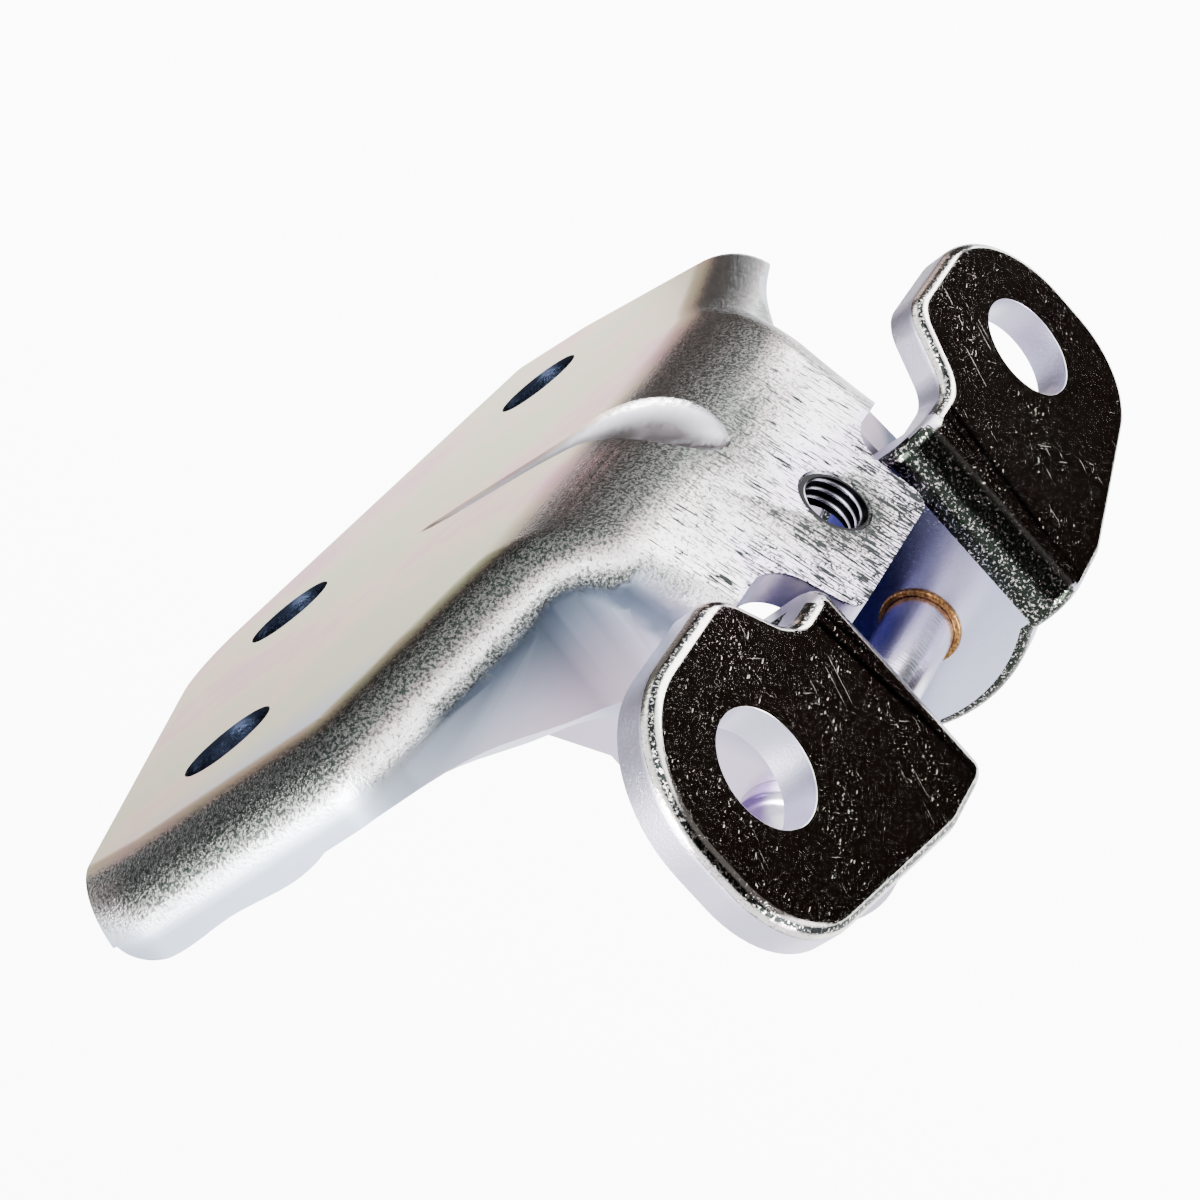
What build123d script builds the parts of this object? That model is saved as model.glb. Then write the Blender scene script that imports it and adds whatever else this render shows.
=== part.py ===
# Car door hinge: a drawn steel leaf that bolts to the body, a folded bracket whose two
# tabs bolt to the door, and a fixed pin that the bracket turns on in two flanged bushes.
#
# Millimetres. The origin is on the pin's axis, half way between the two tabs.
# +Z runs along the pin, +X is the way the leaf's mounting face looks, and the tabs look
# almost along -Y. The bracket stands at its rest angle, a little turned from the axes.

import os
from math import cos, radians, sin

from build123d import *

# Sheet of both the leaf and the bracket
sheet = 4.5
inner_bend_r = 1.0

# Pin and bushes
pin_r = 4.0
running_gap = 0.04
press = 0.02
head_r = 6.6
head_height = 3.0
head_round_r = 1.2
rivet_round_r = 2.4
bush_r = 4.7
flange_r = 8.0
end_play = 0.35

# Bracket, measured in its own frame, where the tabs look along -Y
rest_turn = 5.0
tab_face_y = -16.5
tab_hole_r = 6.25
tab_hole_x = 12.6
tab_hole_z = 43.6
tab_round_r = 14.0
tab_left_round_r = 12.0
tab_right_x = tab_hole_x + tab_round_r
tab_top_z = tab_hole_z + tab_round_r + 0.7
tab_top_left_x = -0.9
neck_left_x = -7.6
neck_right_x = 17.8
neck_top_z = 26.0
ear_gap_half = 14.4
ear_out_z = ear_gap_half + sheet
web_back_y = 17.0

# Leaf
face_x = 41.0
tongue_lean = 23.5
tongue_depth = 16.67
main_bend_r = 15.0
rim_roll_r = 8.0
neck_half = 26.4
wing_half = 64.0
flare_root_y = 1.3
wing_front_y = 12.0
wing_front_half = 57.0
wing_end_y = 40.0
flare_r = 10.0
wing_corner_r = 8.0
wing_end_r = 30.0
rear_apex_y = 74.9
rear_slope_up = 0.46
rear_slope_down = 0.40
rear_apex_r = 20.0
face_hole_r = 5.5
pair_y = 39.2
pair_z = 40.0
single_y = 57.7
tip_u = 6.9
tip_half = 11.5
shoulder_u = 17.5
shoulder_half = 13.0
shoulder_r = 5.0
tip_corner_r = 2.5
thread_u = 15.2
thread_z = -2.1
thread_r = 4.0
thread_chamfer = 0.35
leaf_ear_r = 11.0
end_wall_y = 20.0
edge_start_x = 16.0
end_edge_x = 31.5
low_edge_x = 36.0
upper_edge = [(21.5, 30.0), (24.8, 37.0), (28.3, 44.5), (30.6, 52.0)]
lower_edge = [(29.0, -28.5), (33.8, -36.0), (35.6, -47.0)]
end_edge = [(30.7, 25.0), (31.2, 32.0), (30.9, 39.0), (31.8, 42.6)]
rear_corner = (34.5, 45.0)
leaf_ear_in_z = neck_half - sheet
dart_stations = [
    ((42.5, 40.0), 1.0),
    ((42.1, 34.6), 1.2),
    ((42.3, 22.0), 2.2),
    ((43.0, 10.0), 3.8),
    ((40.8, -0.2), 5.5),
    ((34.7, -7.6), 4.5),
    ((31.8, -9.1), 3.5),
]

# Beyond every edge, for cuts that go right through
far = 95.0

# Directions of the tongue and the frame of the turned bracket
lean = radians(tongue_lean)
tongue_out = Vector(sin(lean), -cos(lean), 0)
tongue_along = Vector(cos(lean), sin(lean), 0)
tongue_plane = Plane(origin=tongue_out * tongue_depth, x_dir=tongue_along, z_dir=tongue_out)
turn = radians(rest_turn)
own_x = Vector(cos(turn), sin(turn), 0)
own_y = Vector(-sin(turn), cos(turn), 0)
bracket_side = Plane(origin=(0, 0, 0), x_dir=own_y, z_dir=own_x)
bracket_front = Plane(origin=(0, 0, 0), x_dir=own_x, z_dir=-own_y)
bracket_top = Plane(origin=(0, 0, 0), x_dir=own_x, z_dir=(0, 0, 1))
dart_spine = Spline(*[centre for centre, radius in dart_stations])


def drawn_form(inset):
    """The leaf's form as a block, full from its front surface back, set in by inset."""
    foot_y = (face_x * tongue_out.X - tongue_depth) / -tongue_out.Y
    back_x = -24.0
    back_y = (back_x * tongue_out.X - tongue_depth) / -tongue_out.Y
    with BuildPart() as form:
        with BuildSketch(Plane.XY) as side:
            with BuildLine():
                Polyline((face_x, far), (face_x, foot_y), (back_x, back_y), (back_x, far), close=True)
            make_face()
            fillet(side.vertices().sort_by_distance((face_x, foot_y)).first, main_bend_r)
            if inset:
                offset(amount=-inset)
        extrude(amount=far, both=True)
        with BuildSketch(Plane.YZ) as outline:
            with BuildLine():
                Polyline(
                    (-far, 0),
                    (-far, neck_half),
                    (flare_root_y, neck_half),
                    (wing_front_y, wing_front_half),
                    (wing_end_y, wing_half),
                    (2 * far, wing_half),
                    (2 * far, 0),
                    close=True,
                )
            make_face()
            mirror(about=Plane.XZ)
            fillet(outline.vertices().filter_by(lambda v: v.X == flare_root_y), flare_r)
            fillet(outline.vertices().filter_by(lambda v: v.X == wing_front_y), wing_corner_r)
            fillet(outline.vertices().filter_by(lambda v: v.X == wing_end_y), wing_end_r)
            if inset:
                offset(amount=-inset)
        extrude(amount=far, both=True, mode=Mode.INTERSECT)
        rim = form.edges().filter_by(Axis.X, reverse=True)
        rim = rim.filter_by(lambda e: abs(e.center().Z) > leaf_ear_in_z - 1)
        fillet(rim.filter_by(lambda e: e.center().X > back_x + sheet + 1), rim_roll_r - inset)
    return form.part


def dart_tool(grow):
    """The tool that presses the dart: slim over the face, round and deep over the bend."""
    with BuildPart() as tool:
        for centre, radius in dart_stations:
            along = dart_spine.tangent_at(Vector(*centre))
            with BuildSketch(Plane(origin=centre, x_dir=(0, 0, 1), z_dir=along)):
                Circle(radius + grow)
        loft()
    return tool.part


# Leaf: the drawn sheet
outer = drawn_form(0)
inner = drawn_form(sheet)

with BuildPart() as dart_back:
    add(dart_tool(sheet))
    add(outer, mode=Mode.INTERSECT)

with BuildPart() as leaf_ears:
    with BuildSketch(Plane.XY.offset(leaf_ear_in_z)) as ear_outline:
        with BuildLine():
            Polyline(
                (0, leaf_ear_r),
                (16.4, 12.3),
                (22.5, 18.0),
                (30, 20.5),
                (face_x - sheet / 2, 20.5),
                (face_x - sheet / 2, -12),
                (24.4, -12.2),
                (20.9, -4.2),
                (15.5, -5.0),
                (8.5, -5.8),
                (0, 0),
                close=True,
            )
        make_face()
        Circle(leaf_ear_r)
    extrude(amount=sheet)
    mirror(about=Plane.XY)
    add(outer, mode=Mode.INTERSECT)

with BuildPart() as leaf:
    add(outer)
    add(inner, mode=Mode.SUBTRACT)
    add(dart_back.part)
    add(dart_tool(0), mode=Mode.SUBTRACT)
    # Rear edge, a wide rounded point
    with BuildSketch(Plane.YZ) as rear:
        with BuildLine():
            Polyline(
                (-far, -far),
                (rear_apex_y - rear_slope_down * far, -far),
                (rear_apex_y, 0),
                (rear_apex_y - rear_slope_up * far, far),
                (-far, far),
                close=True,
            )
        make_face()
        fillet(rear.vertices().sort_by_distance((rear_apex_y, 0)).first, rear_apex_r)
    extrude(amount=far, both=True, mode=Mode.INTERSECT)
    # Tongue with its narrow tip and square shoulders
    with BuildSketch(tongue_plane) as tongue:
        with BuildLine():
            Polyline(
                (tip_u, 0),
                (tip_u, tip_half),
                (shoulder_u, shoulder_half),
                (shoulder_u, far),
                (2 * far, far),
                (2 * far, 0),
                close=True,
            )
        make_face()
        mirror(about=Plane.XZ)
        fillet(tongue.vertices().filter_by(lambda v: abs(abs(v.Y) - tip_half) < 0.1), tip_corner_r)
        fillet(tongue.vertices().filter_by(lambda v: abs(abs(v.Y) - shoulder_half) < 0.1), shoulder_r)
    extrude(amount=2 * far, both=True, mode=Mode.INTERSECT)
    # Free edge of the front walls: deep at the upper wing, shallow at the lower one
    with BuildSketch(Plane.XZ.offset(-end_wall_y)):
        with BuildLine():
            Spline((edge_start_x, neck_half), *upper_edge, (end_edge_x, wing_front_half))
            Polyline((end_edge_x, wing_front_half), (end_edge_x, far), (-leaf_ear_r, far))
            Polyline((-leaf_ear_r, far), (-leaf_ear_r, neck_half), (edge_start_x, neck_half))
        make_face()
        with BuildLine():
            Spline((edge_start_x, -neck_half), *lower_edge, (low_edge_x, -wing_front_half))
            Polyline((low_edge_x, -wing_front_half), (low_edge_x, -far), (-leaf_ear_r, -far))
            Polyline((-leaf_ear_r, -far), (-leaf_ear_r, -neck_half), (edge_start_x, -neck_half))
        make_face()
        with Locations((-leaf_ear_r - far / 2, 0)):
            Rectangle(far, 2 * far)
    extrude(amount=2 * far, mode=Mode.SUBTRACT)
    # Free edge of the end walls, deeper at the upper wing and rounded at its rear
    with BuildSketch(Plane.XY):
        with BuildLine():
            Spline((end_edge_x, end_wall_y), *end_edge, rear_corner)
            Polyline(rear_corner, (rear_corner[0], far), (-far, far), (-far, end_wall_y))
            Line((-far, end_wall_y), (end_edge_x, end_wall_y))
        make_face()
    extrude(amount=far, mode=Mode.SUBTRACT)
    with BuildSketch(Plane.XY):
        with BuildLine():
            Polyline((low_edge_x, end_wall_y), (low_edge_x, far), (-far, far), (-far, end_wall_y), close=True)
        make_face()
    extrude(amount=-far, mode=Mode.SUBTRACT)
    # Three holes in the face
    with BuildSketch(Plane.YZ.offset(face_x)):
        with Locations((pair_y, pair_z), (pair_y, -pair_z), (single_y, 0)):
            Circle(face_hole_r)
    extrude(amount=-2 * sheet, mode=Mode.SUBTRACT)
    # Tapped hole in the tongue
    with BuildSketch(tongue_plane):
        with Locations((thread_u, thread_z)):
            Circle(thread_r)
    extrude(amount=-2 * sheet, mode=Mode.SUBTRACT)
    thread_rims = leaf.edges().filter_by(lambda e: e.geom_type == GeomType.CIRCLE and e.radius == thread_r)
    chamfer(thread_rims, thread_chamfer)
    # Ears for the pin
    add(leaf_ears.part)
    Hole(pin_r - press)

# Bracket: folded as a hat, then cut to its two outlines
with BuildPart() as bracket:
    with BuildSketch(bracket_side) as fold:
        with BuildLine():
            Polyline(
                (tab_face_y, far),
                (tab_face_y, ear_gap_half),
                (web_back_y - sheet, ear_gap_half),
                (web_back_y - sheet, 0),
                (web_back_y, 0),
                (web_back_y, ear_out_z),
                (tab_face_y + sheet, ear_out_z),
                (tab_face_y + sheet, far),
                close=True,
            )
        make_face()
        mirror(about=Plane.XZ)
        corners = fold.vertices().filter_by(lambda v: abs(v.Y) < far)
        outside = [v for v in corners if v.X in (tab_face_y, web_back_y)]
        inside = [v for v in corners if v.X not in (tab_face_y, web_back_y)]
        fillet(outside, inner_bend_r + sheet)
        fillet(inside, inner_bend_r)
    extrude(amount=far, both=True)
    with BuildSketch(bracket_front) as front:
        with BuildLine():
            Polyline(
                (neck_left_x - 6, 0),
                (neck_left_x - 6, ear_out_z + 0.5),
                (neck_left_x, ear_out_z + 0.5),
                (neck_left_x, neck_top_z + 1),
                (tab_top_left_x, tab_top_z),
                (tab_right_x, tab_top_z),
                (tab_right_x, neck_top_z + 5),
                (neck_right_x, neck_top_z - 0.4),
                (neck_right_x, 0),
                close=True,
            )
        make_face()
        top = front.vertices().group_by(Axis.Y)[-1].sort_by(Axis.X)
        fillet(top[0], tab_left_round_r)
        fillet(front.vertices().sort_by_distance((tab_right_x, tab_top_z)).first, tab_round_r)
        fillet(front.vertices().sort_by_distance((tab_right_x, neck_top_z + 5)).first, inner_bend_r + sheet)
        fillet(front.vertices().sort_by_distance((neck_right_x, neck_top_z)).first, sheet)
        fillet(front.vertices().sort_by_distance((neck_left_x, neck_top_z)).first, 2 * sheet)
        mirror(about=Plane.XZ)
    extrude(amount=far, both=True, mode=Mode.INTERSECT)
    with BuildSketch(bracket_top):
        with BuildLine():
            Polyline((28, tab_face_y - 1), (neck_left_x, tab_face_y - 1), (neck_left_x, -10))
            ThreePointArc((neck_left_x, -10), (-11.9, 2.5), (-9.8, 12.3))
            Polyline((-9.8, 12.3), (-9.8, 20), (9, 20), (9, 13))
            Spline((9, 13), (12, 8), (17, 0), (neck_right_x, -11.9))
            Polyline((neck_right_x, -11.9), (28, -11.9), (28, tab_face_y - 1))
        make_face()
    extrude(amount=far, both=True, mode=Mode.INTERSECT)
    with BuildSketch(bracket_front):
        with Locations((tab_hole_x, tab_hole_z), (tab_hole_x, -tab_hole_z)):
            Circle(tab_hole_r)
    extrude(amount=far, both=True, mode=Mode.SUBTRACT)
    Hole(bush_r - press)

# Pin, with its head at the top and its riveted end at the bottom
with BuildPart() as pin:
    with BuildSketch(Plane.XZ) as pin_outline:
        with BuildLine():
            Polyline(
                (0, -neck_half - head_height),
                (head_r - 1, -neck_half - head_height),
                (head_r - 1, -neck_half),
                (pin_r, -neck_half),
                (pin_r, neck_half),
                (head_r, neck_half),
                (head_r, neck_half + head_height),
                (0, neck_half + head_height),
                close=True,
            )
        make_face()
        fillet(pin_outline.vertices().sort_by_distance((head_r, -neck_half - head_height)).first, rivet_round_r)
        fillet(pin_outline.vertices().sort_by_distance((head_r, neck_half + head_height)).first, head_round_r)
    revolve(axis=Axis.Z)


def flanged_bush(side):
    """A bush in one ear of the bracket, its flange outside the ear."""
    start_z = side * (ear_gap_half - 0.4)
    with BuildPart() as bush:
        with BuildSketch(Plane.XY.offset(start_z)):
            Circle(bush_r)
        extrude(amount=side * (leaf_ear_in_z - end_play - abs(start_z)))
        with BuildSketch(Plane.XY.offset(side * ear_out_z)):
            Circle(flange_r)
        extrude(amount=side * (leaf_ear_in_z - end_play - ear_out_z))
        Hole(pin_r + running_gap)
    return bush


bush_top = flanged_bush(1)
bush_bottom = flanged_bush(-1)

os.makedirs("parts", exist_ok=True)

leaf.part.label = "leaf"
export_step(leaf.part, "parts/leaf.step")

bracket.part.label = "bracket"
export_step(bracket.part, "parts/bracket.step")

pin.part.label = "pin"
export_step(pin.part, "parts/pin.step")

bush_top.part.label = "bush_top"
export_step(bush_top.part, "parts/bush_top.step")

bush_bottom.part.label = "bush_bottom"
export_step(bush_bottom.part, "parts/bush_bottom.step")
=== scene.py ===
from math import cos, pi, radians, sin

import bmesh
import bpy
from mathutils import Matrix, Vector


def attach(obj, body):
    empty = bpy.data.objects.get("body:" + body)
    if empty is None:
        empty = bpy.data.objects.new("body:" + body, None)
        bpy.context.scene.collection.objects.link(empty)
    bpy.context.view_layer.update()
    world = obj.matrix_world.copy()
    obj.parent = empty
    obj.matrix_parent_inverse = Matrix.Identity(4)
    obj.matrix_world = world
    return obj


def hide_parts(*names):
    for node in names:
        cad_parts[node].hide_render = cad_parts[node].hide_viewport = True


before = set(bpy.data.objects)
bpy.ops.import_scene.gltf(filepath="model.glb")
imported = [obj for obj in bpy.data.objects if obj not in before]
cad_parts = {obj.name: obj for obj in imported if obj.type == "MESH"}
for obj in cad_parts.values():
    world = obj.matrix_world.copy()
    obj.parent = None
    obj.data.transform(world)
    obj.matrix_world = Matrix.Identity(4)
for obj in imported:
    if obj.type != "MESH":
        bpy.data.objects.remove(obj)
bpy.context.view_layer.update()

MM = 0.001

# How close counts as touching in the tests below
NEAR = 0.1 * MM

# Leaf: its sheet, face, tongue and bend, as in the part's source
SHEET = 4.5 * MM
FACE_X = 41.0 * MM
TONGUE_LEAN = radians(23.5)
TONGUE_OUT = Vector((sin(TONGUE_LEAN), -cos(TONGUE_LEAN), 0))
TONGUE_ALONG = Vector((cos(TONGUE_LEAN), sin(TONGUE_LEAN), 0))
TONGUE_DEPTH = 16.67 * MM
BEND_R = 15.0 * MM
BEND_CENTRE = Vector((26.0, 9.483)) * MM

# The flare lies between these heights, and its foot at this x
NECK_Z = 18.0 * MM
WING_Z = 48.0 * MM
FLARE_FOOT_X = 31.5 * MM

# The dart lies within these limits
DART_END_U = 24.0 * MM
DART_START_Y = 45.0 * MM
DART_HALF_Z = 14.0 * MM

# The leaf's sheared edges lie beyond these limits
REAR_EDGE_Y = 46.0 * MM
FREE_EDGE_X = 33.0 * MM
FREE_EDGE_Z = 28.0 * MM

# Holes in the leaf's face, as their y and z
LEAF_HOLES = [Vector((39.2, 40.0)) * MM, Vector((39.2, -40.0)) * MM, Vector((57.7, 0.0)) * MM]
LEAF_HOLE_R = 5.5 * MM

# Bracket, as in the part's source
REST_TURN = radians(5.0)
TAB_OUT = Vector((sin(REST_TURN), -cos(REST_TURN), 0))
TAB_ALONG = Vector((cos(REST_TURN), sin(REST_TURN), 0))
TAB_DEPTH = 16.5 * MM
TAB_HOLE_X = 12.6 * MM
TAB_HOLE_Z = 43.6 * MM
TAB_HOLE_R = 6.25 * MM
EAR_GAP_HALF = 14.4 * MM
EAR_BORE_R = 4.7 * MM
FOLD_R = 5.5 * MM
WEB_DEPTH = 17.0 * MM

# The rolled outline of the bracket, which only the looks have
ROLLED_R = 1.7 * MM

# The way from the bracket's open side towards its web
INNER_SIDE = Vector((0.66, 0.75, 0.0))

# M8 thread in the tongue
THREAD_U = 15.2 * MM
THREAD_Z = -2.1 * MM
THREAD_PITCH = 1.25 * MM
THREAD_TURNS = 6
THREAD_STEPS = 48
THREAD_ROOT_R = 4.03 * MM
THREAD_CREST_R = 3.35 * MM
THREAD_BACK_R = 4.12 * MM

# Edges sharper than the first angle are shaded as edges, and than the second are broken
SHARP = radians(28)
BROKEN = radians(40)

# How fine the patterns are, roughly in grains to a metre
GRAIN_SCALE = 2900.0
HAIR_SCALE = 3600.0
BRUSH_SCALE = 4200.0

# Colours of the leaf
# Painted reflections on the plain walls
LILAC_WALL_REFLECTION = (0.56, 0.49, 0.61)
BLUE_WALL_REFLECTION = (0.46, 0.53, 0.63)
# Painted shade at the foot of the flare
SLATE_FOLD_SHADE = (0.07, 0.10, 0.15)
# Painted shade at the start of the roll and of the bend
BROWN_START_SHADE = (0.34, 0.22, 0.22)
# Painted shade on the roll and the bend, with dark spots in it
GREY_ROLL_SHADE = (0.10, 0.105, 0.10)
DARK_SPOT_SHADE = (0.02, 0.024, 0.02)
LEAF_SPECK = (0.02, 0.03, 0.025)
# Brushed streaks, which also carry painted shade near the tongue's tip
DARK_STREAK = (0.008, 0.010, 0.010)
LEAF_SHEARED = (0.58, 0.58, 0.70)
# Painted highlight and painted shade of the dart
DART_HIGHLIGHT = (0.97, 0.95, 1.0)
DART_BROWN_SHADE = (0.09, 0.07, 0.07)
DART_DARK_SHADE = (0.05, 0.035, 0.035)
# Painted shade inside the holes
HOLE_SHADE = (0.015, 0.02, 0.035)

# Colours of the bracket
# Painted shade on the bends
FOLD_SHADE_DARK = (0.015, 0.02, 0.015)
BRACKET_SPECK = (0.03, 0.04, 0.03)
# Painted reflection and painted shade on the inner sides of the ears
EAR_PALE_REFLECTION = (0.62, 0.64, 0.78)
EAR_BLUE_SHADE = (0.05, 0.05, 0.20)
# Painted dark reflections along the tabs' rims
RIM_REFLECTION_LINE = (0.010, 0.012, 0.012)
BRACKET_SHEARED = (0.62, 0.59, 0.72)

# Colours of the pin, the bushes and the thread
PIN_LILAC = (0.62, 0.54, 0.68)
PIN_PALE = (0.90, 0.88, 0.92)
PIN_SHADED = (0.16, 0.10, 0.24)
BRONZE_PORE = (0.13, 0.06, 0.02)
BRONZE_BRIGHT = (0.42, 0.22, 0.07)
# Painted shade in the thread's roots and painted highlight on its crests
THREAD_ROOT_SHADE = (0.001, 0.001, 0.0015)
THREAD_CREST_HIGHLIGHT = (0.60, 0.56, 0.66)

# Colours of the stage
WHITE = (0.95, 0.95, 0.95)
BLACK = (0.0012, 0.0006, 0.0004)
BROWN = (0.21, 0.165, 0.155)
GREY = (0.030, 0.028, 0.027)


def new_group(name, inputs, outputs):
    """An empty node group with its named sockets, and its two end nodes."""
    group = bpy.data.node_groups.new(name, "ShaderNodeTree")
    for label, kind, value in inputs:
        socket = group.interface.new_socket(name=label, in_out="INPUT", socket_type=kind)
        if value is not None:
            socket.default_value = value
    for label, kind in outputs:
        group.interface.new_socket(name=label, in_out="OUTPUT", socket_type=kind)
    return group, group.nodes.new("NodeGroupInput"), group.nodes.new("NodeGroupOutput")


def feed(tree, socket, value):
    """Link another node's output to a socket, or set the socket to a plain number or colour."""
    if hasattr(value, "default_value"):
        tree.links.new(value, socket)
    elif isinstance(value, tuple):
        socket.default_value = (*value, 1.0)
    else:
        socket.default_value = value


def noise_node(tree, vector, scale, detail=2.0, rough=0.5):
    """A cloudy pattern from 0 to 1."""
    node = tree.nodes.new("ShaderNodeTexNoise")
    node.inputs["Detail"].default_value = detail
    node.inputs["Roughness"].default_value = rough
    feed(tree, node.inputs["Scale"], scale)
    tree.links.new(vector, node.inputs["Vector"])
    return node.outputs["Fac"]


def map_range(tree, value, low, high, to_low=0.0, to_high=1.0):
    """A soft step of a value between two limits."""
    node = tree.nodes.new("ShaderNodeMapRange")
    node.interpolation_type = "SMOOTHSTEP"
    limits = {"From Min": low, "From Max": high, "To Min": to_low, "To Max": to_high}
    for label, number in limits.items():
        node.inputs[label].default_value = number
    tree.links.new(value, node.inputs["Value"])
    return node.outputs["Result"]


def math_node(tree, operation, first, second):
    """One step of arithmetic on two values."""
    node = tree.nodes.new("ShaderNodeMath")
    node.operation = operation
    feed(tree, node.inputs[0], first)
    feed(tree, node.inputs[1], second)
    return node.outputs["Value"]


def times(tree, first, second):
    """Two values multiplied."""
    return math_node(tree, "MULTIPLY", first, second)


def mix_colour(tree, share, first, second):
    """The first colour where the share is 0, the second where it is 1."""
    node = tree.nodes.new("ShaderNodeMix")
    node.data_type = "RGBA"
    tree.links.new(share, node.inputs["Factor"])
    feed(tree, node.inputs[6], first)
    feed(tree, node.inputs[7], second)
    return node.outputs[2]


def mix_value(tree, share, first, second):
    """The first value where the share is 0, the second where it is 1."""
    node = tree.nodes.new("ShaderNodeMix")
    tree.links.new(share, node.inputs["Factor"])
    feed(tree, node.inputs[2], first)
    feed(tree, node.inputs[3], second)
    return node.outputs[0]


def along_direction(tree, vector, direction):
    """How far a point is along a direction, in metres."""
    dot = tree.nodes.new("ShaderNodeVectorMath")
    dot.operation = "DOT_PRODUCT"
    dot.inputs[1].default_value = direction
    tree.links.new(vector, dot.inputs[0])
    return dot.outputs["Value"]


def distance_from_plane(tree, vector, normal, depth):
    """How far a point is from a plane, in metres, without a sign."""
    away = math_node(tree, "SUBTRACT", along_direction(tree, vector, normal), depth)
    return math_node(tree, "ABSOLUTE", away, 0.0)


def stretched(tree, vector, along, squeeze):
    """Coordinates squeezed along one direction, so that a noise on them runs in streaks."""
    shift = tree.nodes.new("ShaderNodeVectorMath")
    shift.operation = "SCALE"
    shift.inputs[0].default_value = along * -(1.0 - squeeze)
    tree.links.new(along_direction(tree, vector, along), shift.inputs["Scale"])
    total = tree.nodes.new("ShaderNodeVectorMath")
    total.operation = "ADD"
    tree.links.new(vector, total.inputs[0])
    tree.links.new(shift.outputs["Vector"], total.inputs[1])
    return total.outputs["Vector"]


def make_speckle_group():
    """Grain of drawn plated steel: a height that breaks reflections into sparkling dots."""
    group, start, end = new_group(
        "plated grain",
        [("Vector", "NodeSocketVector", None), ("Scale", "NodeSocketFloat", GRAIN_SCALE)],
        [("Height", "NodeSocketFloat"), ("Dots", "NodeSocketFloat")],
    )
    height = noise_node(group, start.outputs["Vector"], start.outputs["Scale"], 3.0, 0.7)
    group.links.new(height, end.inputs["Height"])
    group.links.new(map_range(group, height, 0.52, 0.66), end.inputs["Dots"])
    return group


def make_scratch_group():
    """Hair scratches and small nicks left by handling."""
    group, start, end = new_group(
        "handling marks",
        [("Vector", "NodeSocketVector", None), ("Amount", "NodeSocketFloat", 0.5)],
        [("Mask", "NodeSocketFloat")],
    )
    place = start.outputs["Vector"]
    masks = []
    for along in (Vector((0.6, 0.1, 0.79)), Vector((-0.3, 0.2, 0.93)), Vector((0.9, 0.1, -0.42))):
        streak = stretched(group, place, along.normalized(), 0.035)
        masks.append(map_range(group, noise_node(group, streak, HAIR_SCALE, 1.0), 0.71, 0.76))
    masks.append(map_range(group, noise_node(group, place, HAIR_SCALE), 0.66, 0.74))
    total = masks[0]
    for mask in masks[1:]:
        total = math_node(group, "MAXIMUM", total, mask)
    patches = map_range(group, noise_node(group, place, 160.0, 3.0), 0.38, 0.62, 0.15, 1.0)
    total = times(group, times(group, total, patches), start.outputs["Amount"])
    group.links.new(total, end.inputs["Mask"])
    return group


def make_bloom_group():
    """The faint pink, straw and green clouds of a passivated zinc plate."""
    group, start, end = new_group(
        "plating bloom",
        [("Vector", "NodeSocketVector", None), ("Strength", "NodeSocketFloat", 1.0)],
        [("Colour", "NodeSocketColor")],
    )
    cloud = noise_node(group, start.outputs["Vector"], 30.0, 4.0, 0.6)
    ramp = group.nodes.new("ShaderNodeValToRGB")
    ramp.color_ramp.elements[0].position = 0.38
    ramp.color_ramp.elements[0].color = (0.68, 0.69, 0.42, 1)
    ramp.color_ramp.elements[1].position = 0.62
    ramp.color_ramp.elements[1].color = (0.82, 0.42, 0.50, 1)
    middle = ramp.color_ramp.elements.new(0.5)
    middle.color = (0.84, 0.64, 0.46, 1)
    group.links.new(cloud, ramp.inputs["Fac"])
    plain = (0.86, 0.86, 0.86)
    colour = mix_colour(group, start.outputs["Strength"], plain, ramp.outputs["Color"])
    group.links.new(colour, end.inputs["Colour"])
    return group


GRAIN = make_speckle_group()
MARKS = make_scratch_group()
BLOOM = make_bloom_group()


def place_group(tree, group, vector, **values):
    """One of the groups above, with its values."""
    node = tree.nodes.new("ShaderNodeGroup")
    node.node_tree = group
    tree.links.new(vector, node.inputs["Vector"])
    for label, value in values.items():
        feed(tree, node.inputs[label], value)
    return node


def new_material(name):
    """A metal with its shader and the piece's own coordinates."""
    material = bpy.data.materials.new(name)
    material.use_nodes = True
    tree = material.node_tree
    shader = tree.nodes["Principled BSDF"]
    shader.inputs["Metallic"].default_value = 1.0
    place = tree.nodes.new("ShaderNodeTexCoord").outputs["Object"]
    return material, tree, shader, place


def piece_mark(tree, name):
    """A mark from 0 to 1 that a piece carries on its faces or points."""
    node = tree.nodes.new("ShaderNodeAttribute")
    node.attribute_name = name
    return node.outputs["Fac"]


def link_bump(tree, shader, height, distance):
    """Tilt the shading by a height, whose whole rise is the distance."""
    bump = tree.nodes.new("ShaderNodeBump")
    bump.inputs["Distance"].default_value = distance
    tree.links.new(height, bump.inputs["Height"])
    tree.links.new(bump.outputs["Normal"], shader.inputs["Normal"])


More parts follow.
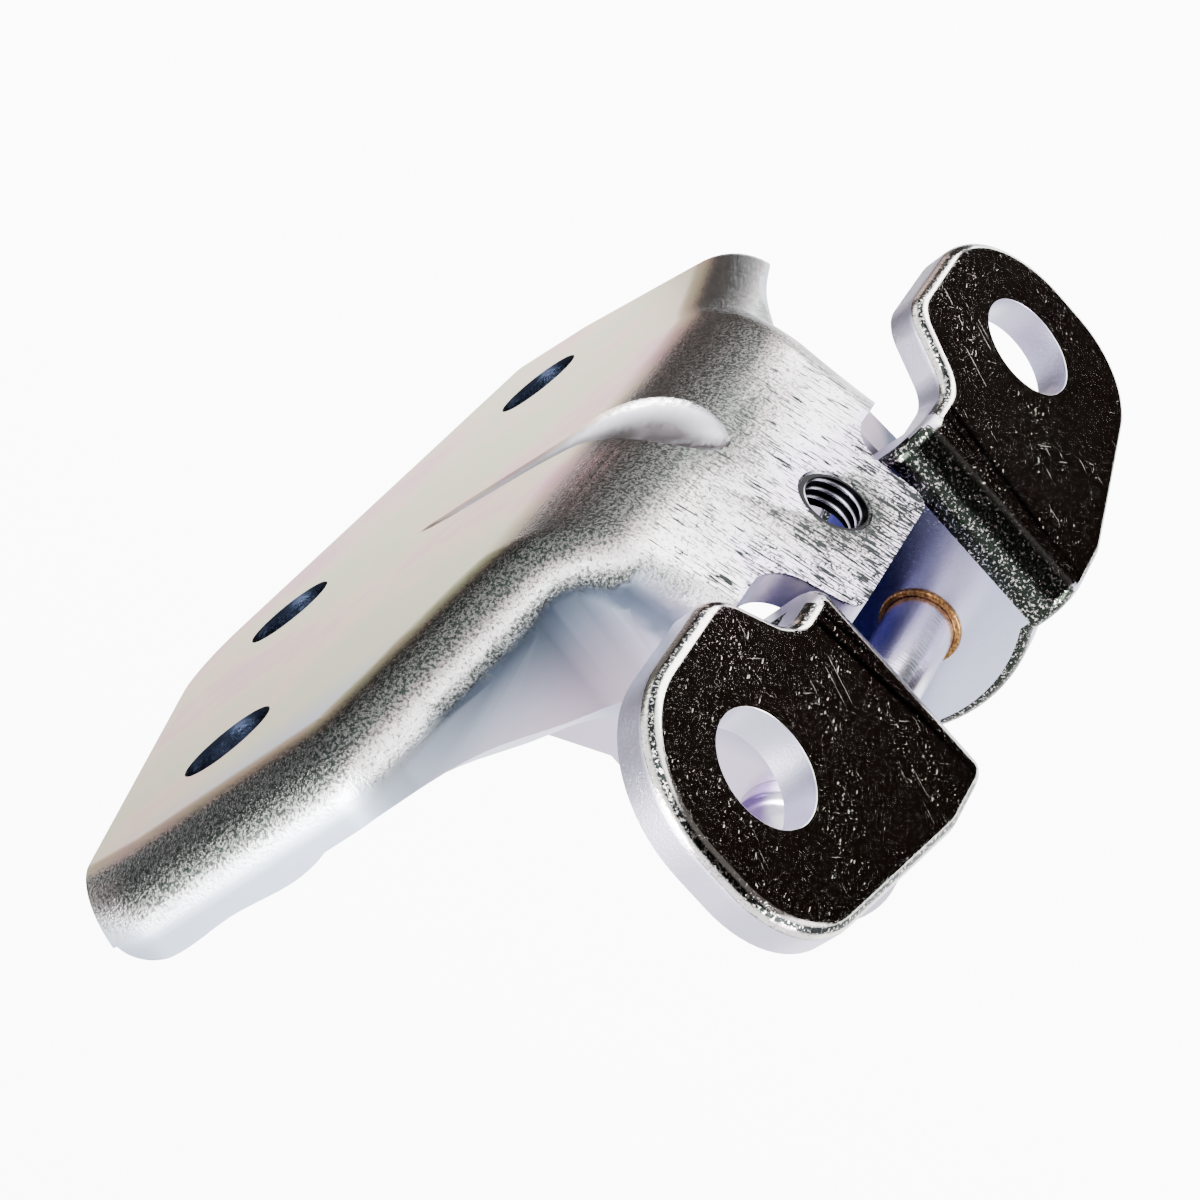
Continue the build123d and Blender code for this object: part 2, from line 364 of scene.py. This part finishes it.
def make_leaf_zinc():
    """Clouded on the flat face, grainy and in painted shade on the roll and the bend, brushed on
    the tongue.
    """
    material, tree, shader, place = new_material("leaf zinc")
    cut = piece_mark(tree, "cut_edge")
    wall = piece_mark(tree, "plain_wall")
    dart = piece_mark(tree, "dart")
    grain = place_group(tree, GRAIN, place, Scale=GRAIN_SCALE)
    off_face = distance_from_plane(tree, place, (1, 0, 0), FACE_X)
    off_tongue = distance_from_plane(tree, place, TONGUE_OUT, TONGUE_DEPTH)
    on_tongue = map_range(tree, off_tongue, 0.02 * MM, 0.5 * MM, 1.0, 0.0)
    not_plain = math_node(tree, "SUBTRACT", 1.0, math_node(tree, "MAXIMUM", wall, dart))
    drawn = times(tree, map_range(tree, off_face, 0.02 * MM, 0.9 * MM), not_plain)

    # Clouds that fade over the roll, and walls with a painted reflection that goes from lilac to
    # blue near the face
    fading = map_range(tree, off_face, 0.3 * MM, 3.0 * MM, 1.0, 0.1)
    bloom = place_group(tree, BLOOM, place, Strength=fading)
    near_face = map_range(tree, along_direction(tree, place, (1, 0, 0)), 25 * MM, 33 * MM)
    wall_reflection = mix_colour(tree, near_face, LILAC_WALL_REFLECTION, BLUE_WALL_REFLECTION)
    colour = mix_colour(tree, wall, bloom.outputs["Colour"], wall_reflection)

    # Painted zones that stand for the dark reflections in the photo, and the grain in them
    colour = mix_colour(tree, piece_mark(tree, "fold"), colour, SLATE_FOLD_SHADE)
    soft = times(tree, piece_mark(tree, "soft"), drawn)
    colour = mix_colour(tree, times(tree, soft, 0.8), colour, BROWN_START_SHADE)
    shade = times(tree, piece_mark(tree, "shade"), drawn)
    colour = mix_colour(tree, times(tree, shade, 0.95), colour, GREY_ROLL_SHADE)
    spotted = map_range(tree, grain.outputs["Height"], 0.44, 0.56)
    colour = mix_colour(tree, times(tree, shade, spotted), colour, DARK_SPOT_SHADE)
    specks = times(tree, grain.outputs["Dots"], times(tree, drawn, 0.85))
    colour = mix_colour(tree, specks, colour, LEAF_SPECK)

    # Brushed streaks and dots of the tongue, and painted shade: they grow thicker towards its tip,
    # darkening it
    brushed = noise_node(tree, stretched(tree, place, TONGUE_ALONG, 0.10), BRUSH_SCALE)
    blotches = noise_node(tree, place, 150.0)
    from_tip = along_direction(tree, place, TONGUE_ALONG)
    near_tip = map_range(tree, from_tip, 6 * MM, 30 * MM, 0.125, 0.015)
    cover = math_node(tree, "ADD", near_tip, times(tree, blotches, 0.22))
    streaks = map_range(tree, math_node(tree, "ADD", brushed, cover), 0.71, 0.75)
    grainy = math_node(tree, "ADD", grain.outputs["Height"], cover)
    dotted = map_range(tree, grainy, 0.76, 0.80)
    streaks = times(tree, math_node(tree, "MAXIMUM", streaks, dotted), on_tongue)
    colour = mix_colour(tree, streaks, colour, DARK_STREAK)

    # Sheared edges, the dart with its painted highlight and painted shade, and the holes
    colour = mix_colour(tree, cut, colour, LEAF_SHEARED)
    colour = mix_colour(tree, dart, colour, DART_HIGHLIGHT)
    patchy = map_range(tree, blotches, 0.40, 0.60, 0.5, 0.9)
    deep = times(tree, piece_mark(tree, "dart_deep"), patchy)
    colour = mix_colour(tree, deep, colour, DART_BROWN_SHADE)
    colour = mix_colour(tree, piece_mark(tree, "dart_far"), colour, DART_DARK_SHADE)
    # Painted shade inside the holes
    colour = mix_colour(tree, piece_mark(tree, "hole_wall"), colour, HOLE_SHADE)
    tree.links.new(colour, shader.inputs["Base Color"])

    rough = mix_value(tree, drawn, 0.36, 0.20)
    rough = mix_value(tree, on_tongue, rough, 0.26)
    rough = mix_value(tree, cut, rough, 0.42)
    tree.links.new(rough, shader.inputs["Roughness"])
    speckle = times(tree, grain.outputs["Height"], mix_value(tree, drawn, 0.015, 1.0))
    height = mix_value(tree, on_tongue, speckle, times(tree, brushed, 0.1))
    link_bump(tree, shader, height, 0.11 * MM)
    return material


def make_bracket_zinc():
    """Glossy tabs with handling marks and painted dark reflections as lines along their rims, and
    grainy bends in painted shade.
    """
    material, tree, shader, place = new_material("bracket zinc")
    cut = piece_mark(tree, "cut_edge")
    hidden = piece_mark(tree, "between_ears")
    bloom = place_group(tree, BLOOM, place, Strength=0.3)
    marks = place_group(tree, MARKS, place, Amount=0.3)
    grain = place_group(tree, GRAIN, place, Scale=GRAIN_SCALE)
    off_tab = distance_from_plane(tree, place, TAB_OUT, TAB_DEPTH)
    drawn = map_range(tree, off_tab, 0.02 * MM, 0.8 * MM, 0.15, 1.0)
    drawn = times(tree, drawn, math_node(tree, "SUBTRACT", 1.0, hidden))

    # Painted shade on the bends, broken up by the grain, and specks
    across = math_node(tree, "ABSOLUTE", along_direction(tree, place, (0, 0, 1)), 0.0)
    fold = times(tree, drawn, map_range(tree, across, 22 * MM, 24 * MM, 1.0, 0.0))
    dark_share = times(tree, fold, map_range(tree, grain.outputs["Height"], 0.34, 0.46))
    colour = mix_colour(tree, dark_share, bloom.outputs["Colour"], FOLD_SHADE_DARK)
    specks = times(tree, grain.outputs["Dots"], times(tree, drawn, 0.7))
    colour = mix_colour(tree, specks, colour, BRACKET_SPECK)

    # Inner sides of the ears and the web: a pale painted reflection, with painted shade darker and
    # bluer towards the web
    inward = map_range(tree, along_direction(tree, place, INNER_SIDE), -4 * MM, 6 * MM)
    colour = mix_colour(tree, hidden, colour, mix_colour(tree, inward, EAR_PALE_REFLECTION, EAR_BLUE_SHADE))

    # Two dark lines of painted reflection along the rolled rim of a tab
    turned = piece_mark(tree, "rolled")
    outer = times(
        tree, map_range(tree, turned, 0.52, 0.66), map_range(tree, turned, 0.92, 0.84)
    )
    inner = times(
        tree, map_range(tree, turned, 0.06, 0.16), map_range(tree, turned, 0.34, 0.24)
    )
    broken = map_range(tree, grain.outputs["Height"], 0.36, 0.48)
    lines = times(tree, math_node(tree, "ADD", outer, inner), broken)
    colour = mix_colour(tree, lines, colour, RIM_REFLECTION_LINE)
    colour = mix_colour(tree, cut, colour, BRACKET_SHEARED)
    tree.links.new(colour, shader.inputs["Base Color"])

    hazy = map_range(tree, grain.outputs["Height"], 0.50, 0.70, 0.09, 0.26)
    rough = mix_value(tree, marks.outputs["Mask"], hazy, 0.50)
    rough = mix_value(tree, hidden, rough, 0.25)
    tree.links.new(mix_value(tree, cut, rough, 0.36), shader.inputs["Roughness"])
    scored = times(tree, marks.outputs["Mask"], -0.6)
    speckle = times(tree, grain.outputs["Height"], times(tree, drawn, 0.6))
    link_bump(tree, shader, math_node(tree, "ADD", scored, speckle), 0.05 * MM)
    return material


def make_pin_steel():
    """Turned steel, streaked along the pin, with its side towards the web painted darker."""
    material, tree, shader, place = new_material("pin steel")
    shader.inputs["Roughness"].default_value = 0.24
    flat = stretched(tree, place, Vector((1, 0, 0)), 0.02)
    turned = noise_node(tree, stretched(tree, flat, Vector((0, 1, 0)), 0.02), 2400.0)
    streak = noise_node(tree, stretched(tree, place, Vector((0, 0, 1)), 0.05), 500.0)
    colour = mix_colour(tree, map_range(tree, streak, 0.35, 0.65), PIN_LILAC, PIN_PALE)
    inward = map_range(tree, along_direction(tree, place, INNER_SIDE), 0.5 * MM, 3.2 * MM)
    colour = mix_colour(tree, inward, colour, PIN_SHADED)
    tree.links.new(colour, shader.inputs["Base Color"])
    link_bump(tree, shader, turned, 0.03 * MM)
    return material


def make_bronze():
    """Pressed and sintered bronze with fine pores."""
    material, tree, shader, place = new_material("sintered bronze")
    pores = noise_node(tree, place, 3200.0)
    colour = mix_colour(tree, map_range(tree, pores, 0.35, 0.65), BRONZE_PORE, BRONZE_BRIGHT)
    tree.links.new(colour, shader.inputs["Base Color"])
    tree.links.new(map_range(tree, pores, 0.3, 0.7, 0.38, 0.24), shader.inputs["Roughness"])
    link_bump(tree, shader, pores, 0.04 * MM)
    return material


def make_thread_zinc():
    """A painted highlight on the crests of the thread and painted shade in its roots."""
    material, tree, shader, _ = new_material("thread zinc")
    shader.inputs["Roughness"].default_value = 0.25
    crest = map_range(tree, piece_mark(tree, "crest"), 0.70, 1.0)
    colour = mix_colour(tree, crest, THREAD_ROOT_SHADE, THREAD_CREST_HIGHLIGHT)
    tree.links.new(colour, shader.inputs["Base Color"])
    return material


def make_stage_colour(name, colour, glow):
    """A plain matt colour for the floor and the cards, which may glow a little."""
    material = bpy.data.materials.new(name)
    material.use_nodes = True
    shader = material.node_tree.nodes["Principled BSDF"]
    shader.inputs["Base Color"].default_value = (*colour, 1)
    shader.inputs["Specular IOR Level"].default_value = 0.0
    shader.inputs["Emission Color"].default_value = (*colour, 1)
    shader.inputs["Emission Strength"].default_value = glow
    return material


def shade_smooth(build):
    """Smooth faces, with the sharp edges kept sharp."""
    for face in build.faces:
        face.smooth = True
    for edge in build.edges:
        edge.smooth = edge.calc_face_angle(0) < SHARP


def dressed(node, name, material, body, edge_r, face_marks, point_marks, rolled=None):
    """A copy of a CAD node with smooth shading and broken edges, which stands for it."""
    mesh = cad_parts[node].data.copy()
    mesh.name = name
    build = bmesh.new()
    build.from_mesh(mesh)
    bmesh.ops.remove_doubles(build, verts=build.verts, dist=0.002 * MM)
    bmesh.ops.dissolve_degenerate(build, edges=build.edges, dist=0.001 * MM)
    bmesh.ops.dissolve_limit(
        build,
        angle_limit=radians(0.2),
        verts=build.verts,
        edges=build.edges,
        delimit={"NORMAL"},
    )
    if rolled:
        bmesh.ops.bevel(
            build,
            geom=[e for e in build.edges if e.calc_face_angle(0) > BROKEN and rolled(e)],
            offset=ROLLED_R,
            offset_type="OFFSET",
            affect="EDGES",
            segments=6,
            profile=0.5,
            material=-1,
            clamp_overlap=False,
        )
    shade_smooth(build)
    build.to_mesh(mesh)
    build.free()
    for label, test in face_marks.items():
        mark = mesh.attributes.new(label, "FLOAT", "FACE")
        for face in mesh.polygons:
            mark.data[face.index].value = float(test(face.center, face.normal))
    for label, test in point_marks.items():
        mark = mesh.attributes.new(label, "FLOAT", "POINT")
        for vert in mesh.vertices:
            mark.data[vert.index].value = float(test(vert.co, vert.normal))
    piece = bpy.data.objects.new(name, mesh)
    bpy.context.scene.collection.objects.link(piece)
    mesh.materials.clear()
    mesh.materials.append(material)
    bevel = piece.modifiers.new("broken edges", "BEVEL")
    bevel.width = edge_r
    bevel.segments = 3
    bevel.limit_method = "ANGLE"
    bevel.angle_limit = BROKEN
    even = piece.modifiers.new("even shading", "WEIGHTED_NORMAL")
    even.keep_sharp = True
    even.weight = 100
    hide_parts(node)
    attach(piece, body)


def ramp_value(value, low, high):
    """0 at the low value, 1 at the high one, straight between them."""
    return min(max((value - low) / (high - low), 0.0), 1.0)


# Marks on the leaf: zones painted to look as light or dark as the photo shows them. Their
# limits were fitted to that one view, and they follow the surface, not the camera.
# A normal's x is 1 on the flat face and 0 where the rim has turned right over.


def leaf_bore(centre, normal):
    """The walls of the three holes in the leaf's face."""
    place = Vector((centre.y, centre.z))
    inside = centre.x > FACE_X - SHEET - NEAR and abs(normal.x) < 0.1
    return inside and any((place - hole).length < LEAF_HOLE_R + 0.2 * MM for hole in LEAF_HOLES)


def leaf_wall(place, normal):
    """The plain walls of the leaf, where the rolled rim has turned right over, and its back. They
    carry a painted reflection.
    """
    if place.x < FLARE_FOOT_X:
        return ramp_value(normal.x, 0.35, 0.20)
    if place.z < -WING_Z:
        return ramp_value(normal.x, 0.0, -0.2)
    if abs(normal.z) > 0.75 and place.z > WING_Z:
        return ramp_value(normal.x, 0.42, 0.10)
    return ramp_value(normal.x, 0.20, 0.08) if abs(normal.z) > 0.1 else 0.0


def leaf_shade(place, normal):
    """Painted shade on the rolled rim and the bend up to the tongue, which the photo shows dark and
    grainy.
    """
    over_end = abs(normal.z) / max(Vector((normal.y, normal.z)).length, 0.01)
    last = 0.54 - 0.30 * ramp_value(over_end, 0.75, 1.0)
    if abs(place.z) < NECK_Z and place.y < BEND_CENTRE.y:
        last = 0.20 + 0.38 * ramp_value(place.z, -10 * MM, 18 * MM)
    above_dart = ramp_value(place.z, 2 * MM, 5 * MM) * ramp_value(place.z, 18 * MM, 12 * MM)
    first = 0.995 - 0.10 * above_dart
    shade = ramp_value(normal.x, first, first - 0.075)
    shade *= ramp_value(normal.x, last - 0.14, last + 0.10)
    if NECK_Z < abs(place.z) < WING_Z and place.x > FLARE_FOOT_X - 5 * MM:
        line = ramp_value(normal.x, 0.36, 0.28) * ramp_value(normal.x, 0.04, 0.15)
        shade = max(shade, 0.8 * line)
    return shade


def leaf_fold(place, normal):
    """Painted shade at the foot of the flare, where the roll meets the plain wall and the photo is
    slate blue.
    """
    if not NECK_Z < abs(place.z) < WING_Z or abs(normal.z) < 0.1:
        return 0.0
    return 0.9 * ramp_value(normal.x, 0.28, 0.14) * ramp_value(normal.x, -0.04, 0.04)


def leaf_soft(place, normal):
    """Painted shade at the start of the roll and of the bend, where the photo's flat face goes
    brown.
    """
    last = 0.0 if place.z < -WING_Z else 0.4
    return ramp_value(normal.x, 0.9998, 0.97) * ramp_value(normal.x, last - 0.1, last + 0.2)


def depth_under_form(place):
    """How far a point lies under the outer surface of the face and of the bend."""
    from_bend = Vector((place.x, place.y)) - BEND_CENTRE
    return FACE_X - place.x if from_bend.y > 0 else BEND_R - from_bend.length


def leaf_dart(place, normal):
    """The sides of the dart, which lie under the drawn form's outer surface, carrying a painted
    highlight.
    """
    beside = abs(place.z) > DART_HALF_Z or place.y > DART_START_Y
    if beside or place.dot(TONGUE_ALONG) < DART_END_U:
        return 0.0
    depth = depth_under_form(place)
    return ramp_value(depth, 0.05 * MM, 0.5 * MM) if depth < SHEET - 0.2 * MM else 0.0


def leaf_dart_deep(place, normal):
    """The bottom of the dart, where its painted highlight fades to a brown painted shade."""
    return leaf_dart(place, normal) * ramp_value(depth_under_form(place), 0.9 * MM, 2.2 * MM)


def leaf_dart_far(place, normal):
    """The upper side of the dart's groove, whose surface looks towards -Z, in painted shade."""
    return leaf_dart(place, normal) * ramp_value(normal.z, 0.0, -0.05)


def leaf_cut(centre, normal):
    """The leaf's sheared edges: at its rear, on its walls and shoulders, and in its tapped hole."""
    rear = abs(normal.x) < 0.05 and centre.y > REAR_EDGE_Y and not leaf_bore(centre, normal)
    free = normal.x < -0.5 and abs(centre.z) > FREE_EDGE_Z and centre.x < FREE_EDGE_X
    shoulder = normal.dot(TONGUE_ALONG) < -0.9
    thread = TONGUE_ALONG * THREAD_U + Vector((0, 0, THREAD_Z))
    from_thread = (centre - thread).cross(TONGUE_OUT).length
    tapped = abs(normal.dot(TONGUE_OUT)) < 0.3 and from_thread < THREAD_BACK_R + 0.4 * MM
    return rear or free or shoulder or tapped


# Marks and edges of the bracket


def radius_from_tab_hole(place):
    """How far a point of the bracket is from the axis of the nearer tab hole."""
    return Vector((place.dot(TAB_ALONG) - TAB_HOLE_X, abs(place.z) - TAB_HOLE_Z)).length


def on_tab(place):
    """Whether a point is on one of the bracket's tabs, clear of its bends."""
    deep_enough = place.dot(TAB_OUT) > TAB_DEPTH - SHEET - NEAR
    return deep_enough and abs(place.z) > EAR_GAP_HALF + FOLD_R


def bracket_cut(centre, normal):
    """The bracket's sheared edges: the outlines and holes of its tabs, and its ears' sides."""
    facing = abs(normal.dot(TAB_OUT))
    return facing < 0.3 if on_tab(centre) else facing < 0.9 and abs(normal.z) < 0.3


def tab_rolled(place, normal):
    """How far the rolled rim of a tab has turned: 1 beside the face, 0 at the edge's wall."""
    below_roll = place.dot(TAB_OUT) < TAB_DEPTH - ROLLED_R - 0.05 * MM
    if below_roll or abs(place.z) < EAR_GAP_HALF + FOLD_R:
        return 0.0
    at_bore = radius_from_tab_hole(place) < TAB_HOLE_R + 0.2 * MM
    return 1.0 if at_bore else max(normal.dot(TAB_OUT), 0.0)


def between_ears(centre, normal):
    """The inner sides of the ears and the web, which only see each other and the pin."""
    depth = centre.dot(TAB_OUT)
    inside_web = 0.5 * MM - WEB_DEPTH < depth < TAB_DEPTH - FOLD_R
    return abs(centre.z) < EAR_GAP_HALF + NEAR and inside_web


def on_front_side(place):
    """Whether a point is on the side of the bracket's sheet that the tabs look to."""
    height = abs(place.z)
    depth = place.dot(TAB_OUT)
    if height > EAR_GAP_HALF + FOLD_R:
        return abs(depth - TAB_DEPTH) < NEAR
    if depth > TAB_DEPTH - FOLD_R:
        from_fold = Vector((depth - TAB_DEPTH + FOLD_R, height - EAR_GAP_HALF - FOLD_R))
        return abs(from_fold.length - FOLD_R) < NEAR
    return height < EAR_GAP_HALF + NEAR and depth > SHEET - WEB_DEPTH - NEAR


def at_hole(place):
    """Whether a point is on the wall of a tab hole or of an ear's bore."""
    return radius_from_tab_hole(place) < TAB_HOLE_R + NEAR or place.xy.length < EAR_BORE_R + NEAR


def front_rim(edge):
    """The outline of the bracket's front side, which is rolled over; its holes aren't."""
    ends = [vert.co for vert in edge.verts]
    return all(on_front_side(end) for end in ends) and not any(at_hole(end) for end in ends)


def make_thread():
    """The M8 thread: a toothed sleeve, spun once with a rise of one pitch, cut to the sheet."""
    build = bmesh.new()
    low = -(THREAD_TURNS + 1) / 2 * THREAD_PITCH
    teeth = []
    backs = []
    for step in range(2 * THREAD_TURNS + 1):
        radius = THREAD_ROOT_R if step % 2 else THREAD_CREST_R
        height = low + step * THREAD_PITCH / 2
        teeth.append(build.verts.new((radius, 0, height)))
        backs.append(build.verts.new((THREAD_BACK_R, 0, height)))
    edges = [build.edges.new(pair) for line in (teeth, backs) for pair in zip(line, line[1:])]
    bmesh.ops.spin(
        build,
        geom=teeth + backs + edges,
        cent=(0, 0, 0),
        axis=(0, 0, 1),
        dvec=(0, 0, THREAD_PITCH / THREAD_STEPS),
        angle=2 * pi,
        steps=THREAD_STEPS,
        use_merge=False,
    )
    bmesh.ops.remove_doubles(build, verts=build.verts, dist=0.005 * MM)
    half = SHEET / 2 - 0.25 * MM
    for side in (-1, 1):
        end = side * half
        bmesh.ops.bisect_plane(
            build,
            geom=build.verts[:] + build.edges[:] + build.faces[:],
            plane_co=(0, 0, end),
            plane_no=(0, 0, side),
            clear_outer=True,
        )
        open_edges = [edge for edge in build.edges if edge.is_boundary]
        rim = [e for e in open_edges if all(abs(v.co.z - end) < 1e-6 for v in e.verts)]
        bmesh.ops.triangle_fill(build, edges=rim, use_beauty=True)
    bmesh.ops.recalc_face_normals(build, faces=build.faces)
    centre = TONGUE_OUT * (TONGUE_DEPTH - SHEET / 2)
    centre += TONGUE_ALONG * THREAD_U + Vector((0, 0, THREAD_Z))
    turn = TONGUE_OUT.to_track_quat("Z", "Y").to_matrix().to_4x4()
    bmesh.ops.transform(build, matrix=Matrix.Translation(centre) @ turn, verts=build.verts)
    shade_smooth(build)
    mesh = bpy.data.meshes.new("tongue_thread")
    build.to_mesh(mesh)
    build.free()
    crest = mesh.attributes.new("crest", "FLOAT", "POINT")
    for vert in mesh.vertices:
        radius = (vert.co - centre).cross(TONGUE_OUT).length
        crest.data[vert.index].value = ramp_value(radius, THREAD_ROOT_R, THREAD_CREST_R)
    piece = bpy.data.objects.new("tongue_thread", mesh)
    bpy.context.scene.collection.objects.link(piece)
    mesh.materials.append(make_thread_zinc())
    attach(piece, "fixed_leaf")


leaf_face_marks = {"cut_edge": leaf_cut, "hole_wall": leaf_bore}
leaf_point_marks = {
    "plain_wall": leaf_wall,
    "shade": leaf_shade,
    "fold": leaf_fold,
    "soft": leaf_soft,
    "dart": leaf_dart,
    "dart_deep": leaf_dart_deep,
    "dart_far": leaf_dart_far,
}
dressed(
    "leaf", "leaf_sheet", make_leaf_zinc(), "fixed_leaf", 0.35 * MM,
    leaf_face_marks, leaf_point_marks,
)
dressed(
    "bracket", "bracket_sheet", make_bracket_zinc(), "turning_bracket", 0.35 * MM,
    {"cut_edge": bracket_cut, "between_ears": between_ears}, {"rolled": tab_rolled}, front_rim,
)
dressed("pin", "hinge_pin", make_pin_steel(), "fixed_leaf", 0.15 * MM, {}, {})
bronze = make_bronze()
for end in ("top", "bottom"):
    dressed(
        f"bush_{end}", f"flanged_bush_{end}", bronze, "turning_bracket", 0.12 * MM,
        {}, {},
    )
make_thread()

# Stage, in metres
MIDDLE = Vector((0.015, 0.02, 0.0))
LOW_CARD_Z = -0.22
UP = (0, 0, 1)


def plane_facing(name, centre, target, width, height, material):
    """A flat stage card that looks at the target."""
    mesh = bpy.data.meshes.new(name)
    build = bmesh.new()
    bmesh.ops.create_grid(build, x_segments=1, y_segments=1, size=0.5)
    bmesh.ops.scale(build, vec=(width, height, 1), verts=build.verts)
    turn = (Vector(target) - Vector(centre)).to_track_quat("Z", "Y").to_matrix().to_4x4()
    bmesh.ops.transform(build, matrix=Matrix.Translation(centre) @ turn, verts=build.verts)
    build.to_mesh(mesh)
    build.free()
    card = bpy.data.objects.new(name, mesh)
    bpy.context.scene.collection.objects.link(card)
    mesh.materials.append(material)
    return card


def reflected_card(name, centre, target, width, height, material):
    """A card that shows in reflections only, and not to the camera."""
    card = plane_facing(name, centre, target, width, height, material)
    card.visible_camera = False
    card.visible_shadow = False
    card.visible_diffuse = False


def side_card(name, direction, distance, width, height, material):
    """A card beside the part, square to a direction from its middle."""
    centre = MIDDLE + Vector(direction).normalized() * distance
    reflected_card(name, centre, MIDDLE, width, height, material)


def low_card(name, x_range, y_range, material):
    """A card that lies level under the part."""
    centre = Vector((sum(x_range) / 2, sum(y_range) / 2, LOW_CARD_Z))
    width = x_range[1] - x_range[0]
    depth = y_range[1] - y_range[0]
    reflected_card(name, centre, centre + Vector((0, 0, 1)), width, depth, material)


def soft_light(name, place, size, power):
    """A round soft lamp that looks at the part."""
    light = bpy.data.lights.new(name, "AREA")
    light.shape = "DISK"
    light.size = size
    light.energy = power
    lamp = bpy.data.objects.new(name, light)
    lamp.location = place
    lamp.rotation_euler = (MIDDLE - Vector(place)).to_track_quat("-Z", "Y").to_euler()
    bpy.context.scene.collection.objects.link(lamp)


floor_white = make_stage_colour("studio floor", WHITE, 8.0)
floor = plane_facing("floor", (0, 0, -0.45), UP, 60, 60, floor_white)
floor.visible_glossy = False
floor.visible_diffuse = False
board_white = make_stage_colour("bounce board", WHITE, 1.5)
bounce = plane_facing("bounce", (0, 0, -0.47), UP, 6, 6, board_white)
bounce.visible_camera = False

# Cards for the metal to reflect, placed for the photo's view. The black one is what makes the
# tabs' faces black there: their plating is pale.
black = make_stage_colour("black card", BLACK, 1.0)
white = make_stage_colour("white card", WHITE, 4.5)
brown = make_stage_colour("brown card", BROWN, 1.0)
grey = make_stage_colour("grey card", GREY, 1.0)
side_card("card under tabs", (-0.31, -0.62, -0.75), 0.30, 0.27, 0.32, black)
low_card("card under rim", (0.125, 0.165), (-0.075, 0.55), brown)
low_card("card under bend", (0.165, 0.40), (-0.075, 0.55), grey)
low_card("card under neck", (0.05, 0.125), (-0.075, 0.13), grey)
side_card("card before tabs", (-0.06, -0.38, 0.06), 0.38, 0.26, 0.66, grey)
side_card("white card", (0.30, -0.56, -0.775), 0.40, 0.28, 0.34, white)
side_card("card beside roll", (0.36, 0.14, -0.13), 0.40, 0.36, 0.25, grey)
side_card("card beside wing", (0.30, 0.24, 0.13), 0.40, 0.22, 0.34, grey)

world = bpy.data.worlds.new("studio")
world.use_nodes = True
sky = world.node_tree.nodes["Background"]
sky.inputs["Color"].default_value = (0.93, 0.95, 1.0, 1)
sky.inputs["Strength"].default_value = 2.2
bpy.context.scene.world = world

soft_light("overhead", (0.30, 0.05, 0.80), 0.6, 30)
soft_light("side", (0.35, -0.46, 0.16), 0.3, 2.5)
soft_light("fill", (-0.5, -0.5, 0.2), 0.5, 14)

# Camera, as fitted to the photograph's holes
CAMERA_PLACE = Vector((95.3, -186.7, 269.7)) * MM
CAMERA_LOOK = Vector((-0.2043, 0.5981, -0.7750)).normalized()
CAMERA_UP = Vector((0.7679, -0.3931, -0.5058))
camera_right = CAMERA_LOOK.cross(CAMERA_UP).normalized()
axes = Matrix((camera_right, camera_right.cross(CAMERA_LOOK), -CAMERA_LOOK)).transposed()
camera = bpy.data.objects.new("camera", bpy.data.cameras.new("camera"))
camera.data.lens = 96.0
camera.data.sensor_width = 36.0
camera.data.clip_start = 0.01
camera.matrix_world = Matrix.Translation(CAMERA_PLACE) @ axes.to_4x4()
bpy.context.scene.collection.objects.link(camera)
bpy.context.scene.camera = camera
